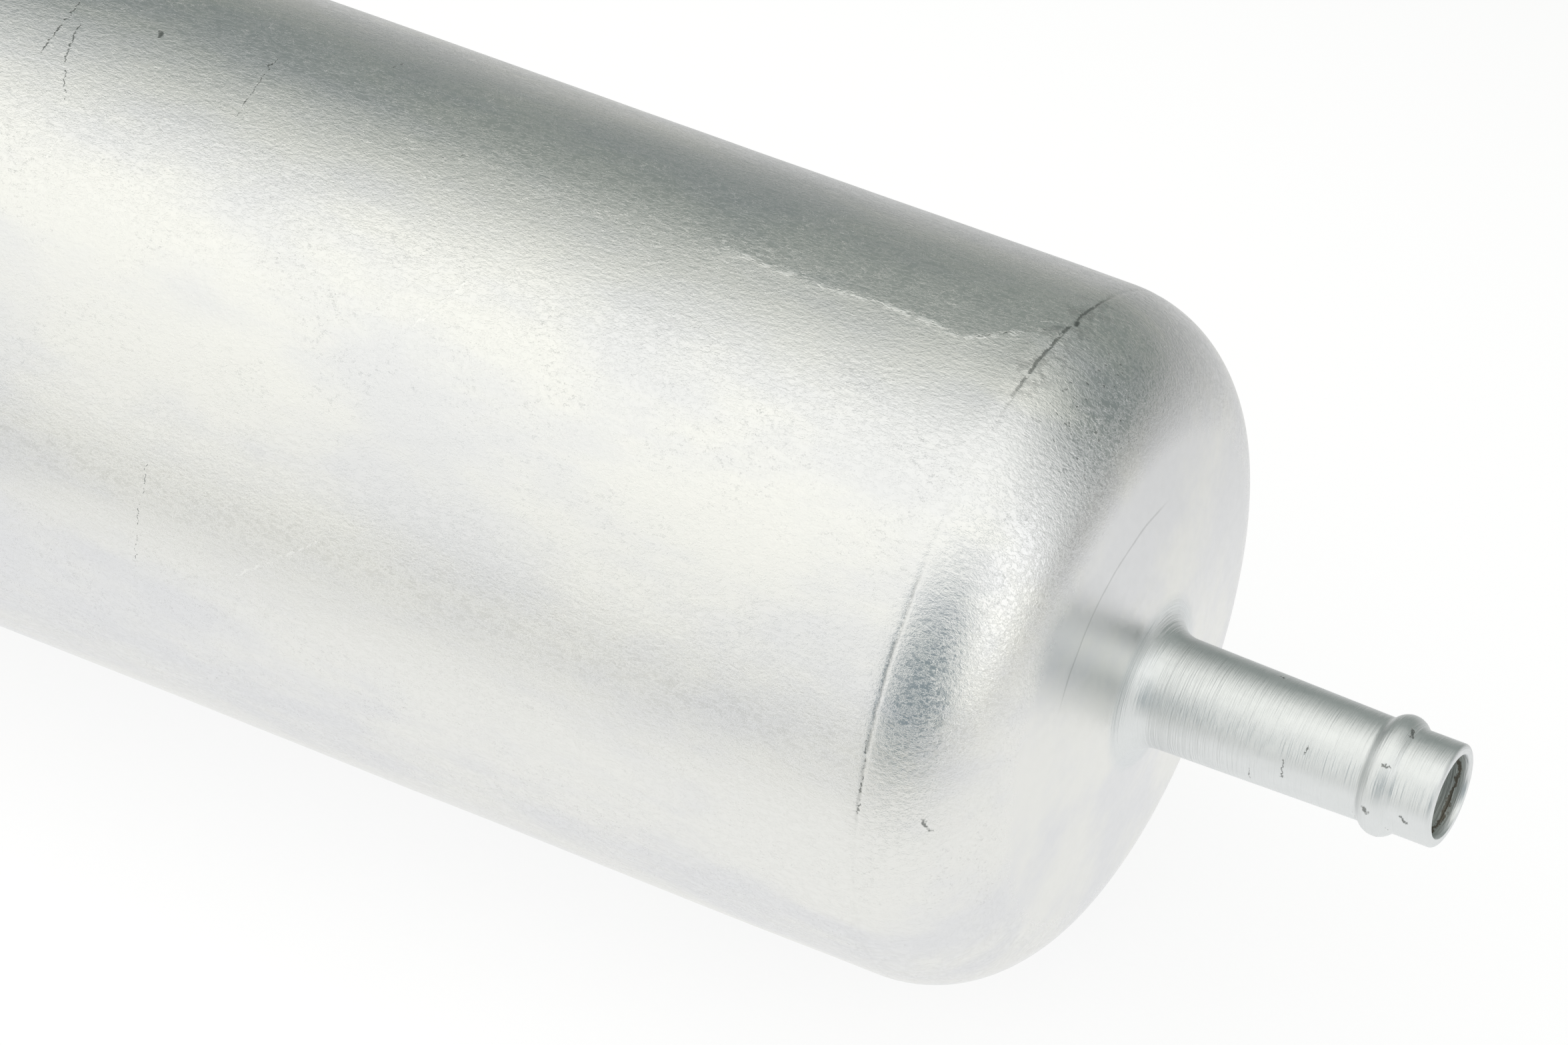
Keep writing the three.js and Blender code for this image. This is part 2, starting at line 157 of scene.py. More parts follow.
def hose_end(tip_x, root):
    """Outside of a spigot from its root over the bead to the bore, with fine turning grooves."""
    end = 1 if tip_x > root[0] else -1
    crest_x = tip_x - end * BEAD_FROM_TIP
    crest_radius = SPIGOT_TIP + BEAD_HEIGHT - BEAD_CREST
    fillet_radius = SPIGOT_TIP + BEAD_FILLET
    centres = BEAD_CREST + BEAD_FILLET
    reach = math.sqrt(centres ** 2 - (fillet_radius - crest_radius) ** 2)
    lean = end * math.degrees(math.asin(reach / centres))
    bevel_x = tip_x - end * TIP_BEVEL
    smooth = (
        [root]
        + arc(crest_x - end * reach, fillet_radius, BEAD_FILLET, 180, 180 - lean, 6)
        + arc(crest_x, crest_radius, BEAD_CREST, -lean, lean, 16)[1:]
        + arc(crest_x + end * reach, fillet_radius, BEAD_FILLET, 180 + lean, 180, 6)[1:]
        + [(bevel_x, SPIGOT_TIP)]
    )
    step = GROOVE_PITCH / 4
    places = np.arange(root[0], bevel_x, end * step)
    ordered = sorted(smooth)
    radii = np.interp(places, [p[0] for p in ordered], [p[1] for p in ordered])
    depths = GROOVE_DEPTH * np.resize([0, 0.5, 1, 0.5], len(places))
    mouth = 3.28
    return (
        list(zip(places, radii - depths))
        + arc(bevel_x, SPIGOT_TIP - TIP_BEVEL, TIP_BEVEL, 0, end * 90, 5)
        + [(tip_x, mouth + 0.05), (tip_x - end * 0.06, mouth)]
        + [(tip_x - end * 0.3, BORE + 0.03), (tip_x - end * 0.5, BORE)]
    )


def seam_radii():
    """Middle radii of the seam's layers, from the inside out."""
    return {
        "inner_wall": CAN_RADIUS - CAN_WALL - GAP - COVER_SHEET / 2,
        "can_wall": CAN_RADIUS - CAN_WALL / 2,
        "cover_hook": CAN_RADIUS + GAP + COVER_SHEET / 2,
        "body_hook": CAN_RADIUS + 2 * GAP + COVER_SHEET + CAN_WALL / 2,
        "outer_wall": CAN_RADIUS + 3 * GAP + COVER_SHEET + CAN_WALL + COVER_SHEET / 2,
    }


def seam_places():
    """The outer curl's radius and X, and the X where both hooks end."""
    radii = seam_radii()
    curl = (radii["outer_wall"] - radii["inner_wall"]) / 2
    curl_x = SEAM_X + curl + COVER_SHEET / 2
    return curl, curl_x, curl_x + HOOK_OVERLAP


def can_outline():
    """The can as one closed loop: wall, shoulder, cone, spigot, bore, inside and rolled rim."""
    radii = seam_radii()
    _, curl_x, hook_x = seam_places()
    turn = math.radians(SHOULDER_ANGLE)
    slope = 1 / math.tan(turn)
    bend_radius = CAN_RADIUS - SHOULDER_RADIUS
    shoulder_steps = 96
    shoulder = arc(SHOULDER_X, bend_radius, SHOULDER_RADIUS, 0, SHOULDER_ANGLE, shoulder_steps)
    fine = shoulder[:22]
    coarse = shoulder[22::2]
    fillet_radius = SPIGOT_ROOT + ROOT_FILLET
    cone_x, cone_radius = shoulder[-1]
    fillet_x = cone_x + (cone_radius - fillet_radius) * slope + ROOT_FILLET / math.sin(turn)
    fillet = arc(fillet_x, fillet_radius, ROOT_FILLET, 180 + SHOULDER_ANGLE, 180, 40)
    fold_from = SHOULDER_X - 25
    outside = (
        line((curl_x, CAN_RADIUS), (fold_from, CAN_RADIUS), 2.4)
        + line((fold_from, CAN_RADIUS), (SHOULDER_X, CAN_RADIUS), 0.45)[1:-1]
        + fine
        + coarse
        + line(coarse[-1], fillet[0], 0.8)[1:-1]
        + fillet[:-1]
        + hose_end(TIP_X, fillet[-1])
    )
    inside_bend = SHOULDER_RADIUS - CAN_WALL
    inside_shoulder = arc(SHOULDER_X, bend_radius, inside_bend, SHOULDER_ANGLE, 0, 10)
    seat_x = inside_shoulder[0][0] + (inside_shoulder[0][1] - SEAT_RADIUS) * slope
    inside = (
        [(seat_x, BORE), (seat_x, SEAT_RADIUS)]
        + inside_shoulder
        + line((SHOULDER_X, CAN_RADIUS - CAN_WALL), (curl_x, CAN_RADIUS - CAN_WALL), 14)[1:]
    )
    bend = (radii["body_hook"] - radii["can_wall"]) / 2
    half = CAN_WALL / 2
    rim = (
        arc(curl_x, radii["cover_hook"], bend + half, -180, 0, 14)[1:]
        + [(hook_x, radii["body_hook"] + half), (hook_x, radii["body_hook"] - half)]
        + arc(curl_x, radii["cover_hook"], bend - half, 0, -180, 8)[:-1]
    )
    return outside + inside + rim


def cover_outline():
    """The cover: seam hook, outer wall, curl, chuck wall, recessed panel and raised centre."""
    radii = seam_radii()
    curl, curl_x, hook_x = seam_places()
    bend = (radii["outer_wall"] - radii["cover_hook"]) / 2
    panel_x, boss_x = SEAM_X + 8.5, SEAM_X + 5.5
    corner, soft = 1.5, 1.0
    path = (
        [(curl_x, radii["cover_hook"])]
        + arc(hook_x, radii["outer_wall"] - bend, bend, 180, 0, 12)
        + arc(curl_x, radii["outer_wall"] - curl, curl, 0, -180, 24)
        + [(SEAM_X + 3.2, radii["inner_wall"]), (SEAM_X + 3.6, radii["inner_wall"] - 0.2)]
        + [(SEAM_X + 4.0, CHUCK_WALL_RADIUS + 0.2), (SEAM_X + 4.4, CHUCK_WALL_RADIUS)]
        + arc(panel_x - corner, CHUCK_WALL_RADIUS - corner, corner, 0, 90, 8)
        + line((panel_x, CHUCK_WALL_RADIUS - corner), (panel_x, BOSS_RADIUS + 1.5 + soft), 2)[1:]
        + [(panel_x - 0.25, BOSS_RADIUS + 1.5 + 0.2), (panel_x - 0.8, BOSS_RADIUS + 1.3)]
        + [(boss_x + 0.8, BOSS_RADIUS + 0.2), (boss_x + 0.25, BOSS_RADIUS - 0.3)]
        + [(boss_x, BOSS_RADIUS - soft), (boss_x, SPIGOT_HOLE)]
    )
    return sheet(path, COVER_SHEET)


def inlet_outline():
    """The inlet spigot: shoulder, hose end, bore and the lip swaged over inside the cover."""
    inside = span("inlet_spigot_seal")[0] - GAP
    outside = inside - SPIGOT_SHOULDER_THICKNESS
    lip_x = span("inlet_spigot_washer")[1] + GAP
    neck = SPIGOT_HOLE - 2 * GAP
    lip = neck + 1.6
    edge = 0.4
    fillet = arc(outside - ROOT_FILLET, SPIGOT_ROOT + ROOT_FILLET, ROOT_FILLET, 90, 180, 40)
    return (
        [(inside, SPIGOT_SHOULDER - 0.1), (inside - 0.1, SPIGOT_SHOULDER)]
        + arc(outside + edge, SPIGOT_SHOULDER - edge, edge, 0, -90, 5)
        + line((outside, SPIGOT_SHOULDER - edge), fillet[0], 0.5)[1:-1]
        + fillet[:-1]
        + hose_end(INLET_TIP_X, fillet[-1])
        + [(lip_x - 0.4, BORE), (lip_x + 1, BORE + 1.2), (lip_x + 1, lip - 0.6)]
        + arc(lip_x + 0.5, lip - 0.5, 0.5, 90, 0, 4)
        + [(lip_x, lip), (lip_x, neck), (inside, neck)]
    )


# ---------------------------------------------------------------------------
# Relief: how far a surface stands off its true form
# ---------------------------------------------------------------------------

def distance_to_path(x, y, path):
    """Distance of each point (x, y) from a chain of straight lines."""
    nearest = np.full(np.shape(y), 1e9)
    for (ax, ay), (bx, by) in zip(path, path[1:]):
        dx, dy = bx - ax, by - ay
        share = np.clip(((x - ax) * dx + (y - ay) * dy) / (dx * dx + dy * dy), 0, 1)
        nearest = np.minimum(nearest, np.hypot(x - ax - share * dx, y - ay - share * dy))
    return nearest


def waves(x, angles, length, around):
    """Smooth random waves on a cylinder."""
    places = [(x / length, around * math.sin(a), around * math.cos(a)) for a in angles]
    return np.array([noise.noise(place) for place in places])


def can_relief(x, radius, angles):
    """Drawing waves, the fold at the top and the crease round the shoulder."""
    if radius < 13:
        return 0
    along = x - SHOULDER_X
    clear_of_seam = min(max((x - SEAM_X - 8) / 6, 0), 1)
    round_top = (angles + math.pi) % (2 * math.pi) - math.pi
    arcs = round_top * CAN_RADIUS
    wave = 0.09 * waves(x, angles, 26, 2.4) + 0.028 * waves(x + 50, angles, 8, 7)
    fold = FOLD_HEIGHT * np.exp(-distance_to_path(along, arcs, FOLD) / FOLD_WIDTH)
    past_crease = min(max((along - CREASE) / 1.5, 0), 1)
    crease = CREASE_DEPTH * math.exp(-((along - CREASE) / 0.16) ** 2)
    return (wave + fold * (1 - past_crease) - crease) * clear_of_seam


def cover_relief(x, radius, angles):
    return 0.02 * waves(x, angles, 12, 3)


# ---------------------------------------------------------------------------
# Meshes
# ---------------------------------------------------------------------------

def body_angles():
    """Angles round the filter, about twice as close near the top."""
    turn = np.linspace(-180, 180, 3601)
    density = 1 + 1.4 * np.exp(-(turn / FINE_REACH) ** 2)
    total = np.concatenate([[0], np.cumsum((density[1:] + density[:-1]) / 2)])
    shares = np.arange(BODY_SEGMENTS) / BODY_SEGMENTS
    return np.radians(np.interp(shares, total / total[-1], turn))


ANGLES = body_angles()


def segments_for(radius):
    if radius < 1e-6:
        return 1
    if radius > 13:
        return BODY_SEGMENTS
    return BODY_SEGMENTS // 2 if radius > 7.2 else BODY_SEGMENTS // 4


def ring_points(x, radius, count, relief):
    angles = ANGLES[:: BODY_SEGMENTS // count]
    bumped = radius + (relief(x, radius, angles) if relief else 0)
    return np.stack([np.full(count, x), -bumped * np.sin(angles), bumped * np.cos(angles)], axis=1)


def band(a, count_a, b, count_b):
    """Faces between two rings. Their counts are equal, or one is 1 or half the other."""
    if count_a == 1 and count_b == 1:
        return []
    if count_a < count_b:
        return [tuple(reversed(face)) for face in band(b, count_b, a, count_a)]
    if count_a == count_b:
        return [(a + i, a + (i + 1) % count_a, b + (i + 1) % count_b, b + i) for i in range(count_a)]
    if count_b == 1:
        return [(a + i, a + (i + 1) % count_a, b) for i in range(count_a)]
    faces = []
    for i in range(count_b):
        first, second, third = 2 * i, 2 * i + 1, (2 * i + 2) % count_a
        faces.append((a + first, a + second, b + i))
        faces.append((a + second, a + third, b + (i + 1) % count_b, b + i))
    return faces


def revolved(name, profile, relief=None):
    """A closed outline swept round X."""
    counts = [segments_for(radius) for _, radius in profile]
    starts = np.concatenate([[0], np.cumsum(counts)[:-1]]).tolist()
    rings = [ring_points(x, radius, count, relief) for (x, radius), count in zip(profile, counts)]
    faces = []
    for i in range(len(profile)):
        j = (i + 1) % len(profile)
        faces += band(int(starts[i]), counts[i], int(starts[j]), counts[j])
    return new_piece(name, np.concatenate(rings), faces)


def new_piece(name, points, faces, sharp=35):
    """A smooth-shaded piece from points in millimetres, with edges over `sharp` degrees kept."""
    mesh = bpy.data.meshes.new(name)
    mesh.from_pydata((np.asarray(points) * MM).tolist(), [], faces)
    working = bmesh.new()
    working.from_mesh(mesh)
    bmesh.ops.recalc_face_normals(working, faces=working.faces)
    working.to_mesh(mesh)
    working.free()
    mesh.polygons.foreach_set("use_smooth", [True] * len(mesh.polygons))
    mesh.set_sharp_from_angle(angle=math.radians(sharp))
    mesh.update()
    piece = bpy.data.objects.new(name, mesh)
    bpy.context.scene.collection.objects.link(piece)
    return piece


def wire_along(name, centres, wire_radius, sides):
    """A round wire whose middle follows the centres."""
    centres = np.array(centres)
    along = np.gradient(centres, axis=0)
    along /= np.linalg.norm(along, axis=1)[:, None]
    outward = centres * (0, 1, 1)
    outward -= along * (outward * along).sum(axis=1)[:, None]
    outward /= np.linalg.norm(outward, axis=1)[:, None]
    across = np.cross(along, outward)
    turns = np.linspace(0, 2 * math.pi, sides, endpoint=False)
    points = np.concatenate([
        centre + wire_radius * (np.outer(np.cos(turns), out) + np.outer(np.sin(turns), side))
        for centre, out, side in zip(centres, outward, across)
    ])
    faces = [tuple(range(sides)), tuple(range(len(points) - sides, len(points)))]
    for i in range(len(centres) - 1):
        faces += band(i * sides, sides, (i + 1) * sides, sides)
    return new_piece(name, points, faces)


def extruded_loops(name, outer, inner, start, end):
    """A wall between two closed loops of equal length, given as (y, z), extruded along X."""
    count = len(outer)
    points = []
    for x, loop in ((start, outer), (end, outer), (end, inner), (start, inner)):
        points += [(x, y, z) for y, z in loop]
    faces = []
    for i in range(4):
        faces += band(i * count, count, (i + 1) % 4 * count, count)
    return new_piece(name, points, faces, sharp=60)


# ---------------------------------------------------------------------------
# Shader nodes
# ---------------------------------------------------------------------------

class Nodes:
    """Short calls that add nodes to a tree."""

    def __init__(self, tree):
        self.tree = tree

    def set(self, socket, value):
        if isinstance(value, bpy.types.NodeSocket):
            self.tree.links.new(value, socket)
        else:
            socket.default_value = value

    def add(self, kind, inputs=None, **settings):
        node = self.tree.nodes.new(kind)
        for key, value in settings.items():
            setattr(node, key, value)
        for key, value in (inputs or {}).items():
            self.set(node.inputs[key], value)
        return node

    def math(self, operation, a, b=0.0):
        return self.add("ShaderNodeMath", {0: a, 1: b}, operation=operation).outputs[0]

    def total(self, first, *rest):
        for value in rest:
            first = self.math("ADD", first, value)
        return first

    def product(self, first, *rest):
        for value in rest:
            first = self.math("MULTIPLY", first, value)
        return first

    def away(self, value, centre):
        return self.math("ABSOLUTE", self.math("SUBTRACT", value, centre))

    def vector(self, operation, a, b=(0, 0, 0)):
        node = self.add("ShaderNodeVectorMath", {0: a, 1: b}, operation=operation)
        return node.outputs["Value" if operation in ("LENGTH", "DOT_PRODUCT") else "Vector"]

    def ramp(self, value, low, high, to_low=0.0, to_high=1.0):
        inputs = {"Value": value, "From Min": low, "From Max": high}
        inputs |= {"To Min": to_low, "To Max": to_high}
        node = self.add("ShaderNodeMapRange", inputs, interpolation_type="SMOOTHSTEP")
        return node.outputs["Result"]

    def noise(self, position, scale, detail=2.0, roughness=0.5, stretch=(1, 1, 1), output="Fac"):
        placed = self.vector("MULTIPLY", position, stretch)
        inputs = {"Vector": placed, "Scale": scale, "Detail": detail, "Roughness": roughness}
        return self.add("ShaderNodeTexNoise", inputs).outputs[output]

    def mix(self, factor, a, b):
        return self.add("ShaderNodeMix", {0: factor, 6: a, 7: b}, data_type="RGBA").outputs[2]

    def bump(self, height, distance):
        inputs = {"Strength": 1.0, "Distance": distance * MM, "Height": height}
        return self.add("ShaderNodeBump", inputs).outputs["Normal"]

    def position(self):
        """The place on the piece, in millimetres."""
        place = self.add("ShaderNodeTexCoord").outputs["Object"]
        return self.vector("MULTIPLY", place, (1 / MM, 1 / MM, 1 / MM))

    def split(self, vector):
        return self.add("ShaderNodeSeparateXYZ", {0: vector}).outputs

    def join(self, x, y, z=0.0):
        return self.add("ShaderNodeCombineXYZ", {0: x, 1: y, 2: z}).outputs[0]

    def near_line(self, place, start, end, width):
        """1 on the line from start to end, fading out at half its width."""
        start, end = Vector((*start, 0)), Vector((*end, 0))
        way = end - start
        offset = self.vector("SUBTRACT", place, start)
        share = self.math("DIVIDE", self.vector("DOT_PRODUCT", offset, way), way.length_squared)
        share = self.add("ShaderNodeClamp", {0: share}).outputs[0]
        nearest = self.add("ShaderNodeVectorMath", {0: way, "Scale": share}, operation="SCALE")
        distance = self.vector("LENGTH", self.vector("SUBTRACT", offset, nearest.outputs[0]))
        return self.ramp(distance, width / 2, width / 8)

    def near_angle(self, angle, centre, reach, full, low, high):
        """High within `full` degrees of the centre, falling to low at `reach` degrees."""
        away = self.away(angle, math.radians(centre))
        return self.ramp(away, math.radians(reach), math.radians(full), low, high)

    def either(self, masks):
        found = masks[0]
        for mask in masks[1:]:
            found = self.math("MAXIMUM", found, mask)
        return found


def new_material(name, metallic, roughness=0.5):
    made = bpy.data.materials.new(name)
    made.use_nodes = True
    shader = made.node_tree.nodes["Principled BSDF"].inputs
    shader["Metallic"].default_value = metallic
    shader["Roughness"].default_value = roughness
    return made, Nodes(made.node_tree), shader


# ---------------------------------------------------------------------------
# Materials
# ---------------------------------------------------------------------------

def can_zones(n):
    """Places on the can, and masks for its drawn skin, turned spigot and bore."""
    place = n.position()
    x, y, z = n.split(place)
    along = n.math("SUBTRACT", x, SHOULDER_X)
    angle = n.math("ARCTAN2", n.product(y, -1.0), z)
    radius = n.vector("LENGTH", n.vector("MULTIPLY", place, (0, 1, 1)))
    shake = n.noise(place, 1.3, 2, 0.6, output="Color")
    shake = n.vector("MULTIPLY", n.vector("SUBTRACT", shake, (0.5, 0.5, 0.5)), (0.8, 0.8, 0.8))
    in_mouth = n.ramp(x, TIP_X - 0.2, TIP_X - 0.6)
    return SimpleNamespace(
        place=place,
        x=x,
        along=along,
        angle=angle,
        radius=radius,
        unrolled=n.vector("ADD", n.join(along, n.product(angle, CAN_RADIUS)), shake),
        drawn=n.ramp(radius, *CONE_EDGE),
        turned=n.ramp(radius, *SPIGOT_EDGE),
        # bore: the bore's wall from 0.2 mm inside the tip, which gets more roughness and painted shade.
        bore=n.product(n.ramp(radius, BORE + 0.1, BORE + 0.04), in_mouth),
    )


def can_metal():
    """Drawn aluminium: fibrous skin, smoother end, turned spigot, rougher bore darkened by painted shade,
    old marks, painted shade along the crease and painted highlights on the scuffs.
    """
    made, n, shader = new_material("can_aluminium", 1.0)
    at = can_zones(n)
    # dark: real scratches, nicks, a turned circle and pits, with painted shade along the crease.
    dark = n.either(can_scratches(n, at) + spigot_nicks(n, at) + crease_shade_and_marks(n, at))
    # light: torn metal and scratches painted bright as highlights, and painted glints.
    light = scuffs_and_painted_highlights(n, at)
    worn = n.ramp(n.noise(at.place, 0.2, 3, 0.6), 0.42, 0.62, 0.15, 0.9)
    flecks = n.ramp(n.noise(at.place, 2.9, 4, 0.75, (0.6, 1, 1)), 0.58, 0.66)
    flecks = n.product(flecks, worn)
    peel = n.noise(at.place, 1.3, 3, 0.6, (0.5, 1, 1))
    n.set(shader["Base Color"], can_colour(n, at, dark, light))
    n.set(shader["Roughness"], can_roughness(n, at, light, flecks, peel))
    n.set(shader["Normal"], n.bump(can_height(n, at, dark, light, flecks, peel), 0.042))
    return made


def can_colour(n, at, dark, light):
    patches = n.noise(at.place, 0.09, 4, 0.6, (0.4, 1, 1))
    colour = n.mix(n.ramp(patches, 0.38, 0.62), (0.735, 0.74, 0.75, 1), (0.795, 0.795, 0.77, 1))
    colour = n.mix(n.product(at.turned, 0.7), colour, (0.715, 0.74, 0.75, 1))
    # Darkens the marks: real scratches, nicks, a turned circle and pits, and painted shade along the crease.
    colour = n.mix(n.product(dark, 0.85), colour, (0.16, 0.17, 0.16, 1))
    # Painted highlights: torn metal along the fold and scratches painted near white, with painted glint
    # specks.
    colour = n.mix(light, colour, (0.93, 0.93, 0.91, 1))
    wavy = n.product(n.noise(at.place, 1.1, 4, 0.7), 1.2)
    burr = n.ramp(n.away(n.total(at.x, wavy), TIP_X - 0.3), 0.22, 0.08)
    # Painted shade inside the bore: past 0.2 mm into the mouth the wall is painted a darker green-grey, with
    # a dark burr line just inside the mouth.
    bore_shade_and_burr = n.mix(n.product(burr, 0.8), (0.56, 0.59, 0.57, 1), (0.16, 0.13, 0.09, 1))
    return n.mix(at.bore, colour, bore_shade_and_burr)


def can_roughness(n, at, light, flecks, peel):
    rough = n.total(n.ramp(peel, 0.3, 0.7, 0.2, 0.27), n.ramp(at.drawn, 0.0, 1.0, 0.09, 0.0))
    rough = n.total(rough, n.product(light, 0.25), n.product(at.turned, 0.08), n.product(at.bore, 0.25))
    polished = n.product(n.ramp(at.along, 1.5, 4.0), at.drawn)
    return n.total(rough, n.product(polished, -0.07), n.product(flecks, at.drawn, 0.17))


def can_height(n, at, dark, light, flecks, peel):
    """Skin of the drawn metal, rings on the spigot, cut scratches and torn scuffs."""
    grain = n.noise(at.place, 3.3, 3, 0.7, (0.65, 1, 1))
    veins = n.noise(at.place, 1.6, 4, 0.75, (0.5, 1, 1))
    fibres = n.ramp(n.away(veins, 0.5), 0.05, 0.0)
    skin = n.total(
        n.product(peel, 0.5),
        n.product(grain, 0.95),
        n.product(flecks, 0.26),
        n.product(fibres, 0.15),
    )
    skin = n.product(skin, n.total(n.product(at.drawn, 0.88), 0.12))
    outward = n.join(n.math("SUBTRACT", at.x, at.radius), n.product(at.angle, 0.2))
    rings = n.noise(outward, 2.7, 3, 0.7)
    torn = n.product(light, n.noise(at.place, 4.0, 2, 0.7))
    return n.total(skin, n.product(rings, at.turned, 2.0), n.product(dark, -0.4), torn)


def can_scratches(n, at):
    """Start, end and width, as (from the shoulder, arc from the top)."""
    scratches = [
        ((-81.5, -1.5), (-81.2, 4.6), 0.22),
        ((-80.2, 0.5), (-79.2, 4.3), 0.28),
        ((-79.2, 4.3), (-77.0, 7.9), 0.16),
        ((-65.0, -3.6), (-64.0, 4.1), 0.16),
        ((-74.2, -1.4), (-73.9, -0.9), 0.5),
        ((-57.2, -7.4), (-57.2, -8.6), 0.2),
        ((-47.8, 1.0), (-46.5, -0.2), 0.2),
        ((-59.5, 31.7), (-59.8, 40.5), 0.1),
        ((1.75, -6.2), (1.85, -5.8), 0.6),
        ((1.5, -4.4), (-4.2, 0.4), 0.13),
        ((6.1, 38.0), (6.4, 39.2), 0.35),
        ((1.5, 32.0), (1.7, 38.2), 0.2),
        ((30.4, 50.0), (30.6, 56.0), 0.12),
        ((32.5, 47.0), (33.1, 56.0), 0.14),
        ((22.0, 45.0), (22.1, 53.0), 0.12),
    ]
    return [n.near_line(at.unrolled, start, end, width) for start, end, width in scratches]


def spigot_nicks(n, at):
    """Start, end and width, as (from the shoulder, arc from the top) on the spigot."""
    nicks = [
        ((31.5, 5.9), (31.7, 6.1), 0.55),
        ((34.2, 6.0), (34.7, 6.4), 0.26),
        ((31.9, 9.5), (32.2, 9.5), 0.3),
        ((32.0, 2.7), (32.5, 2.7), 0.2),
        ((24.6, 4.9), (24.7, 6.4), 0.15),
        ((26.1, 3.3), (26.0, 3.9), 0.15),
        ((21.6, -1.7), (21.8, -1.6), 0.25),
        ((32.7, -0.8), (32.8, -0.2), 0.3),
    ]
    jitter = n.noise(at.place, 4.0, 3, 0.7, output="Color")
    jitter = n.vector("SUBTRACT", jitter, (0.5, 0.5, 0.5))
    jitter = n.vector("MULTIPLY", jitter, (0.7, 0.7, 0))
    place = n.vector("ADD", n.join(at.along, n.product(at.angle, SPIGOT_TIP)), jitter)
    lines = [n.near_line(place, start, end, width) for start, end, width in nicks]
    return [n.product(line, at.turned) for line in lines]


def crease_shade_and_marks(n, at):
    """Painted shade in and beside the crease, a faint turned circle on the cone and pits on the shoulder."""
    # Painted shade: the crease is darkened, most at the top and the front of the can, with a darker band
    # beside it at the top.
    break_up = n.noise(at.place, 0.9, 3, 0.7)
    groove = n.away(n.total(at.along, n.product(break_up, 0.6)), CREASE + 0.3)
    groove = n.product(n.ramp(groove, 0.2, 0.04), n.ramp(break_up, 0.38, 0.5))
    top = n.near_angle(at.angle, -8, 22, 10, 0.03, 0.9)
    front = n.near_angle(at.angle, 60, 24, 14, 0, 0.35)
    crease_shade_band = n.ramp(n.away(at.along, CREASE), 2.6, 0.4)
    crease_shade_band = n.product(crease_shade_band, top, n.ramp(break_up, 0.45, 0.62), 0.4)
    crease = n.math("MAXIMUM", n.product(groove, n.total(top, front)), crease_shade_band)

    wander = n.total(at.radius, n.product(n.noise(at.place, 0.12, 2), 1.2))
    circle = n.ramp(n.away(wander, 15.8), 0.16, 0.03)
    circle = n.product(circle, n.near_angle(at.angle, 22, 40, 28, 0, 0.3))
    circle = n.product(circle, n.ramp(at.along, 9.0, 9.6))

    pitted = n.product(n.ramp(n.away(at.along, 6.5), 3.5, 1.5), n.ramp(n.away(at.angle, 0.0), 0.35, 0.1))
    pits = n.product(n.ramp(n.noise(at.place, 2.1, 1, 0.5), 0.68, 0.73), pitted, 0.7)
    return [crease, circle, pits]


def scuffs_and_painted_highlights(n, at):
    """Torn metal along the fold and scratches, real marks painted bright as highlights, and painted glint
    specks beside the fold.
    """
    ragged = n.ramp(n.noise(at.place, 2.4, 3, 0.7, (0.4, 1, 1)), 0.45, 0.6)
    edges = zip(FOLD[:-2], FOLD[1:-1])
    fold = n.either([n.near_line(at.unrolled, start, end, 0.95) for start, end in edges])
    fold = n.product(fold, ragged, 0.9)
    scratches = [
        ((-40.0, 10.0), (-42.4, 15.2), 0.3),
        ((-75.8, 11.3), (-75.8, 13.4), 0.3),
        ((1.3, -5.4), (-1.8, -3.6), 0.12),
        ((-51.0, 38.4), (-44.5, 33.1), 0.2),
    ]
    lines = n.either([n.near_line(at.unrolled, start, end, width) for start, end, width in scratches])
    # Painted glints: bright specks in a band along the top of the can.
    painted_glints = n.ramp(n.noise(at.place, 2.6, 4, 0.75, (0.6, 1, 1)), 0.56, 0.64)
    painted_glints = n.product(painted_glints, n.near_line(at.unrolled, (-84, 6), (-20, 1.5), 12), 0.6)
    return n.either([fold, n.product(lines, 0.6), painted_glints])


def grained(name, colours, metallic, roughness, scale, relief, stretch=(1, 1, 1)):
    """A plain material whose colour, roughness and height vary with one noise."""
    made, n, shader = new_material(name, metallic)
    place = n.position()
    broad = n.noise(place, scale / 6, 3, 0.6, stretch)
    fine = n.noise(place, scale, 1, 0.5, stretch)
    first, second = ((*colour, 1) for colour in colours)
    n.set(shader["Base Color"], n.mix(n.ramp(broad, 0.3, 0.7), first, second))
    n.set(shader["Roughness"], n.ramp(fine, 0.3, 0.7, *roughness))
    n.set(shader["Normal"], n.bump(fine, relief))
    return made


